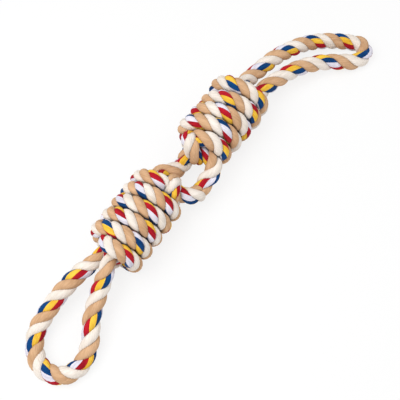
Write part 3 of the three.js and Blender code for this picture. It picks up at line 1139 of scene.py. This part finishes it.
@dataclass
class MiddleRope:
    """The rope wound round one knot: from its core over it as wraps, and on into the other core."""

    knot: Knot
    other: Knot
    run: Sequence[Row]
    wraps_seen: Sequence[Seen]
    run_seen: Seen
    wound_fit: Fit = Fit(row_step=28, stiffness=0.5)
    hinge_reach: float = 16 * MM
    press: float = 1.03
    wrap_reach: float = 85 * MM
    tail_reach: float = 20 * MM
    seed: int = 19

    def __post_init__(self) -> None:
        """Lay the route from one hidden join to the other."""
        knot, other = self.knot, self.other
        core = knot.core_pass(MIDDLE_ANGLE)[::-1]
        kept_core = core[len(core) // 2 - 1:]
        helix = knot.wraps()
        wide = 1 - (1 - TUCK_TURN_IN) * knot.start_tuck
        turn_in = knot.bend([[value * wide for value in row] for row in TURN_IN], -1)
        own = knot.placed([*kept_core, *turn_in, *helix, *knot.bend(knot.tail, 1)])
        far_core = other.core_pass(MIDDLE_ANGLE)[::-1]
        far = other.placed([*other.bend(other.run_in, 1), *far_core[:len(far_core) // 2 + 2]])
        self.route = Route([*own, *placed_rows(self.run), *far])
        self.core_end = self.route.at(len(kept_core) - 1)
        first = len(kept_core) + len(TURN_IN)
        self.helix_start = self.route.at(first)
        self.wraps_end = self.route.at(first + len(helix) - 1)
        self.hinge = self.route.at(len(own) + 1)
        self.far_mouth = self.route.at(len(own) + len(self.run) + len(other.run_in))
        top = STEPS_PER_TURN * (TOP_ANGLE - WRAP_START_ANGLE) // FULL_TURN
        self.tops = [
            self.route.at(first + min(top + STEPS_PER_TURN * turn, len(helix) - 1))
            for turn in range(knot.turns)
        ]
        self.rope = LaidRope(self.route, self.radius_at, self.twist(), seed=self.seed)

    def twist(self) -> Twist:
        """Work out the twist from what is seen on each wrap and on the run.

        Returns:
            The twist of the whole rope.
        """
        reader = TwistReader(self.route, self.radius_at)
        stretches = [
            (seen, top - self.wrap_reach, top + self.wrap_reach)
            for seen, top in zip(self.wraps_seen, self.tops)
        ]
        stretches.append((self.run_seen, self.wraps_end + self.tail_reach, self.far_mouth))
        strands = reader.strands(stretches, KNOT_LAY, self.wound_fit)
        return Twist(self.route, strands, reader.yarns(stretches, strands), KNOT_LAY)

    def radius_at(self, lengths: np.ndarray) -> np.ndarray:
        """Radius along the route: squeezed in the core, fuller in the wraps, free in the run.

        Args:
            lengths: Lengths along the route, in metres.

        Returns:
            The rope's radius at each.
        """
        core, free = CORE_DIAMETER / 2, FREE_DIAMETER / 2
        wrap = (self.knot.diameter + WRAP_CLEARANCE) / 2 * self.press
        out = core + (wrap - core) * smoothstep(lengths, self.core_end, self.helix_start)
        out = out + (free - wrap) * smoothstep(lengths, self.wraps_end, self.hinge)
        enters = (self.hinge + self.far_mouth) / 2
        return out + (core - free) * smoothstep(lengths, enters, self.far_mouth + RUN_IN_EASE)

    def build(self) -> list[bpy.types.Object]:
        """Build the rope, and the thread over its join in this knot's core.

        Returns:
            The pieces.
        """
        name, knot, other = self.knot.name, self.knot, self.other
        rope = self.rope.mesh(f"{name}_wound_rope", 0, self.route.total)
        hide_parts(f"{name}_wraps", f"{other.name}_run_in")
        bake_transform(rope)
        thread = ThreadBinding(self.route, self.route.at(1)).build(f"{name}_wrap_thread")
        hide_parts(f"{name}_wrap_binding")
        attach(thread, knot.body)
        return [rope, thread]


@dataclass
class ThreadBinding:
    """Thread wound close round a hidden join in a knot's core."""

    route: Route
    middle: float
    pitch: float = 1.0 * MM
    steps_per_wind: int = 20
    sides: int = 6

    def build(self, name: str) -> bpy.types.Object:
        """Build the winding as one thin tube.

        Args:
            name: The piece's name.

        Returns:
            The mesh object.
        """
        winds = int(BINDING_LENGTH / self.pitch)
        count = winds * self.steps_per_wind
        low = max(self.middle - BINDING_LENGTH / 2, 0)
        lengths = low + np.linspace(0, BINDING_LENGTH, count)
        centre = self.route.sampled(self.route.centre, lengths)
        across = self.route.sampled(self.route.across, lengths)
        beside = self.route.sampled(self.route.beside, lengths)
        turn = np.linspace(0, winds * 2 * math.pi, count)[:, None]
        thread = BINDING_THICKNESS / 2
        outward = across * np.cos(turn) + beside * np.sin(turn)
        path = centre + outward * (CORE_DIAMETER / 2 - thread)
        ahead = np.cross(outward, beside * np.cos(turn) - across * np.sin(turn))
        angle = np.arange(self.sides) * 2 * math.pi / self.sides
        cos, sin = np.cos(angle)[None, :, None], np.sin(angle)[None, :, None]
        points = path[:, None] + thread * (outward[:, None] * cos + ahead[:, None] * sin)
        ring = np.repeat(np.arange(count - 1), self.sides)
        side = np.tile(np.arange(self.sides), count - 1)
        after = (side + 1) % self.sides
        quads = np.stack([
            ring * self.sides + side, ring * self.sides + after,
            (ring + 1) * self.sides + after, (ring + 1) * self.sides + side,
        ], 1)
        last = (count - 1) * self.sides
        caps = [[0, k, k + 1] for k in range(1, self.sides - 1)]
        caps += [[last, last + k + 1, last + k] for k in range(1, self.sides - 1)]
        u = lengths[ring]
        v = side * thread
        coordinates = np.stack([u, v, u, v + thread, u, v + thread, u, v], 1).reshape(-1, 2)
        slots = np.zeros(len(quads) + len(caps), int)
        return rope_object(
            name, points.reshape(-1, 3), quads, np.array(caps), slots, coordinates,
            [YARN_MATERIALS[Yarn.THREAD]],
        )


# Studio

def shown_rays(tree: bpy.types.NodeTree) -> bpy.types.NodeSocket:
    """Add a test of rays that reach the picture straight, by gloss or through glass.

    Args:
        tree: The node tree of a material or the world.

    Returns:
        A socket that is 1 for such rays and 0 for light that falls on the toy.
    """
    rays = add_node(tree, "ShaderNodeLightPath").outputs
    seen = rays["Is Camera Ray"]
    for name in ("Is Glossy Ray", "Is Transmission Ray"):
        seen = add_node(
            tree, "ShaderNodeMath", {"operation": "MAXIMUM"}, links={0: seen, 1: rays[name]},
        ).outputs[0]
    return seen


@dataclass(frozen=True)
class StudioPaper:
    """Matt white paper: it takes the toy's soft shadow and shows no reflection."""

    name: str = "matt_white_paper"
    colour: str = "#f2f2f2"
    glow: float = 0.8

    def material(self) -> bpy.types.Material:
        """Build the paper's material.

        Returns:
            A material that is plain matt paper to the light, and nearly white in the picture.
        """
        made = bpy.data.materials.new(self.name)
        made.use_nodes = True
        tree = made.node_tree
        tree.nodes.clear()
        matt = add_node(
            tree, "ShaderNodeBsdfDiffuse", inputs={"Color": linear(self.colour)},
        ).outputs[0]
        white = add_node(
            tree, "ShaderNodeEmission", inputs={"Color": WHITE, "Strength": 1.0},
        ).outputs[0]
        share = add_node(
            tree, "ShaderNodeMath", {"operation": "MULTIPLY"}, {1: self.glow},
            {0: shown_rays(tree)},
        ).outputs[0]
        both = add_node(tree, "ShaderNodeMixShader", links={0: share, 1: matt, 2: white}).outputs[0]
        add_node(tree, "ShaderNodeOutputMaterial", links={"Surface": both})
        return made


@dataclass(frozen=True)
class Lamp:
    """A square soft lamp that faces the middle of the floor: watts, and sizes in metres."""

    name: str
    power: float
    size: float
    place: Row


@dataclass
class Studio:
    """The photograph's camera, a pale floor and soft light."""

    view: View = View()
    clip_range: Row = (0.01, 50)
    floor_size: float = 6.0
    paper: StudioPaper = StudioPaper()
    sky_strength: float = 0.5
    lamps: Sequence[Lamp] = (
        Lamp("key_light", 9.5, 0.9, (-0.45, 0.25, 1.0)),
        Lamp("fill_light", 3.0, 1.2, (0.6, -0.5, 0.9)),
    )

    def camera(self) -> None:
        """Place the camera as the photograph's was."""
        data = bpy.data.cameras.new("camera")
        data.lens, data.sensor_width = self.view.focal_length, self.view.sensor_width
        data.clip_start, data.clip_end = self.clip_range
        made = bpy.data.objects.new("camera", data)
        bpy.context.scene.collection.objects.link(made)
        place, aim = placed_rows([self.view.place, self.view.aim])
        made.location = Vector(place)
        made.rotation_euler = Vector(aim - place).to_track_quat("-Z", "Y").to_euler()
        bpy.context.scene.camera = made

    def floor(self) -> None:
        """Lay the floor: white to the camera, with the toy's soft shadow on it."""
        half = self.floor_size / 2
        mesh = bpy.data.meshes.new("floor")
        corners = [(-half, -half, 0), (half, -half, 0), (half, half, 0), (-half, half, 0)]
        mesh.from_pydata(corners, [], [(0, 1, 2, 3)])
        made = bpy.data.objects.new("floor", mesh)
        bpy.context.scene.collection.objects.link(made)
        mesh.materials.append(self.paper.material())

    def light(self) -> None:
        """Light the toy softly from above, a little from the photograph's left."""
        world = bpy.data.worlds.new("sky")
        world.use_nodes = True
        bpy.context.scene.world = world
        tree = world.node_tree
        tree.nodes.clear()
        sky, white = (
            add_node(tree, "ShaderNodeBackground", inputs={"Color": WHITE, "Strength": strength})
            for strength in (self.sky_strength, 1.0)
        )
        both = add_node(
            tree, "ShaderNodeMixShader",
            links={0: shown_rays(tree), 1: sky.outputs[0], 2: white.outputs[0]},
        )
        add_node(tree, "ShaderNodeOutputWorld", links={"Surface": both.outputs[0]})
        for lamp in self.lamps:
            data = bpy.data.lights.new(lamp.name, "AREA")
            data.energy, data.size = lamp.power, lamp.size
            made = bpy.data.objects.new(lamp.name, data)
            bpy.context.scene.collection.objects.link(made)
            made.location = lamp.place
            made.rotation_euler = (-Vector(lamp.place)).to_track_quat("-Z", "Y").to_euler()


# The toy

LOWER_KNOT = Knot(
    "lower", x=-80.5 * MM, heading=3.2, turns=6, diameter=16.9 * MM, lean=-0.03, is_upper=False,
    eye=LOWER_EYE, tail=LOWER_TAIL, run_in=LOWER_RUN_IN, start_tuck=1.0,
)
UPPER_KNOT = Knot(
    "upper", x=72.6 * MM, heading=-0.6, turns=5, diameter=17.8 * MM, lean=-0.2, is_upper=True,
    eye=UPPER_EYE, tail=UPPER_TAIL, run_in=UPPER_RUN_IN, first_shift=(-6 * MM, -3.5 * MM),
)

# What is seen of each rope, with the wraps in the order of their winding
LOWER_LOOP_SEEN = Seen(
    coloured=(
        (98.5, 248), (77, 274), (51, 307), (35, 341), (46, 374), (80, 366), (92, 322), (102, 282),
    ),
    cream=(
        (90, 264), (63, 293.5), (40, 325), (36, 365), (68, 375), (90, 338), (97, 296), (105, 265),
    ),
    tan=((93, 257), (68, 286), (44, 317), (34, 354), (57, 378), (86, 353), (95, 308), (105, 272)),
    yellow=(
        (96, 247), (71, 275.5), (50, 305.5), (36, 339), (45, 363), (90, 362), (94, 322),
        (99.5, 283),
    ),
    red=(
        (101.5, 249), (80, 274), (58, 305), (43, 336), (50, 384), (81, 364.5), (87, 328),
        (93, 291),
    ),
    white=((89, 272), (46, 378), (74, 366), (112.5, 281)),
    blue=(
        (64.5, 279), (43, 307.5), (29.5, 343), (44.5, 371), (95.5, 357), (99.5, 316), (107, 281.5),
    ),
)
UPPER_LOOP_SEEN = Seen(
    coloured=(
        (265, 65.5), (289, 48), (320, 39), (347, 40), (360, 53), (330, 60.5), (297, 68.5),
        (265, 86.5),
    ),
    cream=((250, 77.5), (273, 57), (302, 44), (332, 38), (354, 39), (321, 65), (286, 73)),
    tan=((256, 72), (281, 53), (307, 41), (336, 41), (359, 46), (345, 61), (308, 66), (272, 79)),
    yellow=(
        (272.5, 65), (297, 49.5), (322, 39), (347.5, 40), (354, 51), (321, 57.5), (293.5, 68.5),
        (267, 87.5),
    ),
    red=(
        (252.5, 65), (277.5, 46.5), (297, 52.5), (324.5, 44), (346.5, 46.5), (315.5, 56.5),
        (339, 66.5), (286, 67.5), (262, 85),
    ),
    white=((257, 63), (363, 57.5), (334, 65), (305, 73.5)),
    blue=(
        (266, 63.5), (289.5, 46.5), (314.5, 35.5), (346, 36), (361, 53.5), (330, 61.5),
        (298.5, 72), (273, 86),
    ),
)
LOWER_EYE_SEEN = Seen(
    yellow=((173, 195),),
    red=((179, 192),),
)
UPPER_EYE_SEEN = Seen(
    yellow=((191, 130), (200, 139.5), (202.5, 158.3)),
    red=((185, 132),),
    blue=((200, 145), (201.5, 151.5)),
)
LOWER_WRAPS_SEEN = (
    Seen(
        coloured=((131.7, 257.9),),
        cream=((108, 244.2),),
        tan=((117.9, 250.3),),
        yellow=((130.1, 251.8),),
        red=((134, 258.7),),
        white=((134.7, 264.8),),
        blue=((130.9, 266.4),),
    ),
    Seen(
        coloured=((107.2, 226.6), (141.6, 245.7)),
        cream=((118.7, 233.5), (149.3, 248)),
        tan=((96.5, 223.5), (130.1, 239.6)),
        yellow=((108, 230.4), (140.9, 254.1)),
        red=((110.2, 236.5),),
        blue=((106.4, 221.2), (141.6, 244.9)),
    ),
    Seen(
        coloured=((119.4, 215.1), (153.1, 234.2)),
        cream=((131.7, 221.2), (160.7, 236.5)),
        tan=((110.2, 210.5), (142.4, 227.3)),
        yellow=((117.9, 206.7), (150.8, 227.3)),
        red=((119.4, 212), (153.9, 235)),
        white=((121, 219.7), (152.3, 241.9)),
        blue=((124, 225),),
    ),
    Seen(
        coloured=((122.5, 201.3), (152.3, 216.6)),
        cream=((130.1, 203.6), (162.3, 225.8)),
        tan=((139.3, 208.2), (169.9, 228.1)),
        red=((121.7, 193.7), (150.8, 209.7)),
        white=((120.2, 197.5), (153.9, 218.1)),
        blue=((122.5, 203.6), (153.9, 224.3)),
    ),
    Seen(
        coloured=((138.6, 188.3), (169.2, 207.4)),
        cream=((124.8, 185.2), (148.5, 192.9), (179.1, 212)),
        tan=((130.9, 186.8), (158.5, 199.8)),
        yellow=((163.8, 196.7),),
        red=((137.8, 181.4), (169.2, 202.8)),
        white=((137.8, 186.8), (170.7, 212)),
        blue=((139.3, 192.9), (169.9, 217.4)),
    ),
    Seen(
        coloured=((154.6, 179.9),),
        cream=((136.3, 172.2), (162.3, 185.2)),
        tan=((144.7, 174.5),),
        red=((153.9, 176.8),),
        white=((155.4, 182.2),),
    ),
)
UPPER_WRAPS_SEEN = (
    Seen(
        coloured=((232.3, 84.9), (262.2, 103.3)),
        cream=((222.4, 84.9), (255.3, 95.6)),
        tan=((212.4, 85.7), (244.6, 90.2)),
        yellow=((227.7, 78.8), (262.2, 97.1)),
        white=((236.9, 91),),
        blue=((232.3, 84.9), (262.2, 106.3)),
    ),
    Seen(
        coloured=((227.7, 99.4), (256.8, 114.7)),
        cream=((215.5, 97.1), (249.9, 110.1)),
        tan=((240, 103.3),),
        yellow=((227.7, 99.4),),
        red=((223.9, 93.3),),
        blue=((232.3, 107.1),),
    ),
    Seen(
        coloured=((227.7, 118.6),),
        cream=((212.4, 110.1), (245.3, 126.2)),
        tan=((202.5, 106.3), (237.7, 121.6)),
        yellow=((220.1, 119.3), (230.8, 122.4)),
        red=((226.2, 113.2),),
    ),
    Seen(
        coloured=((190.2, 117.8), (227.7, 128.5)),
        cream=((214, 125.4), (241.5, 145.3)),
        tan=((202.5, 121.6), (236.2, 138.5)),
        red=((194.1, 123.9), (227.7, 138.5)),
        white=((188.7, 117.8), (227.7, 132.3)),
        blue=((188, 114), (223.9, 124.7)),
    ),
    Seen(
        coloured=((228.5, 149.9),),
        cream=((216.3, 145.3),),
        tan=((207.8, 143),),
        yellow=((230, 153),),
        red=((227.7, 146.1),),
        blue=((229.3, 158.3),),
    ),
)
LOWER_RUN_SEEN = Seen(
    coloured=((188, 199), (211, 178)),
    cream=((198, 194), (214, 167)),
    tan=((202, 188), (214, 159)),
    red=((185, 194), (204, 179)),
    white=((187, 198), (212, 178)),
    blue=((190, 203), (218, 176)),
)
UPPER_RUN_SEEN = Seen(
    coloured=((180.5, 159), (163, 174.5), (157, 174.5)),
    cream=((178, 165.5), (172, 167.5)),
    tan=((176, 171), (181, 170.5)),
    yellow=((182, 159), (166.5, 175)),
    red=((177.5, 158.5), (159.5, 174)),
)

# The eyes turn faster on the outside of their bend. The mark is a cream strand on the lower one
# and a tan strand on the upper one.
LOWER_EYE_TURNS = MarkedTurns(
    (174, 185), CREAM_TURN, ((-18, -235), (-10, -160), (-2, -55), (8, 105), (18, 255)),
)
UPPER_EYE_TURNS = MarkedTurns(
    (193.3, 148.3), TAN_TURN,
    ((-28, -380), (-14, -260), (-6, -130), (1, -15), (14, 10), (28, 140)),
)


def main() -> None:
    """Build the toy in its studio."""
    logging.basicConfig(level=logging.INFO, format="%(message)s")
    bpy.context.scene.view_settings.view_transform = "Standard"
    studio = Studio()
    studio.camera()
    ropes = (
        HandleRope(LOWER_KNOT, LOWER_LOOP, LOWER_LOOP_SEEN, LOWER_EYE_SEEN, LOWER_EYE_TURNS),
        HandleRope(UPPER_KNOT, UPPER_LOOP, UPPER_LOOP_SEEN, UPPER_EYE_SEEN, UPPER_EYE_TURNS),
        MiddleRope(LOWER_KNOT, UPPER_KNOT, RUN_B, LOWER_WRAPS_SEEN, LOWER_RUN_SEEN),
        MiddleRope(UPPER_KNOT, LOWER_KNOT, RUN_A, UPPER_WRAPS_SEEN, UPPER_RUN_SEEN),
    )
    for rope in ropes:
        for piece in rope.build():
            LOG.info("%s: %d faces", piece.name, len(piece.data.polygons))
    studio.floor()
    studio.light()


if __name__ == "__main__":
    main()
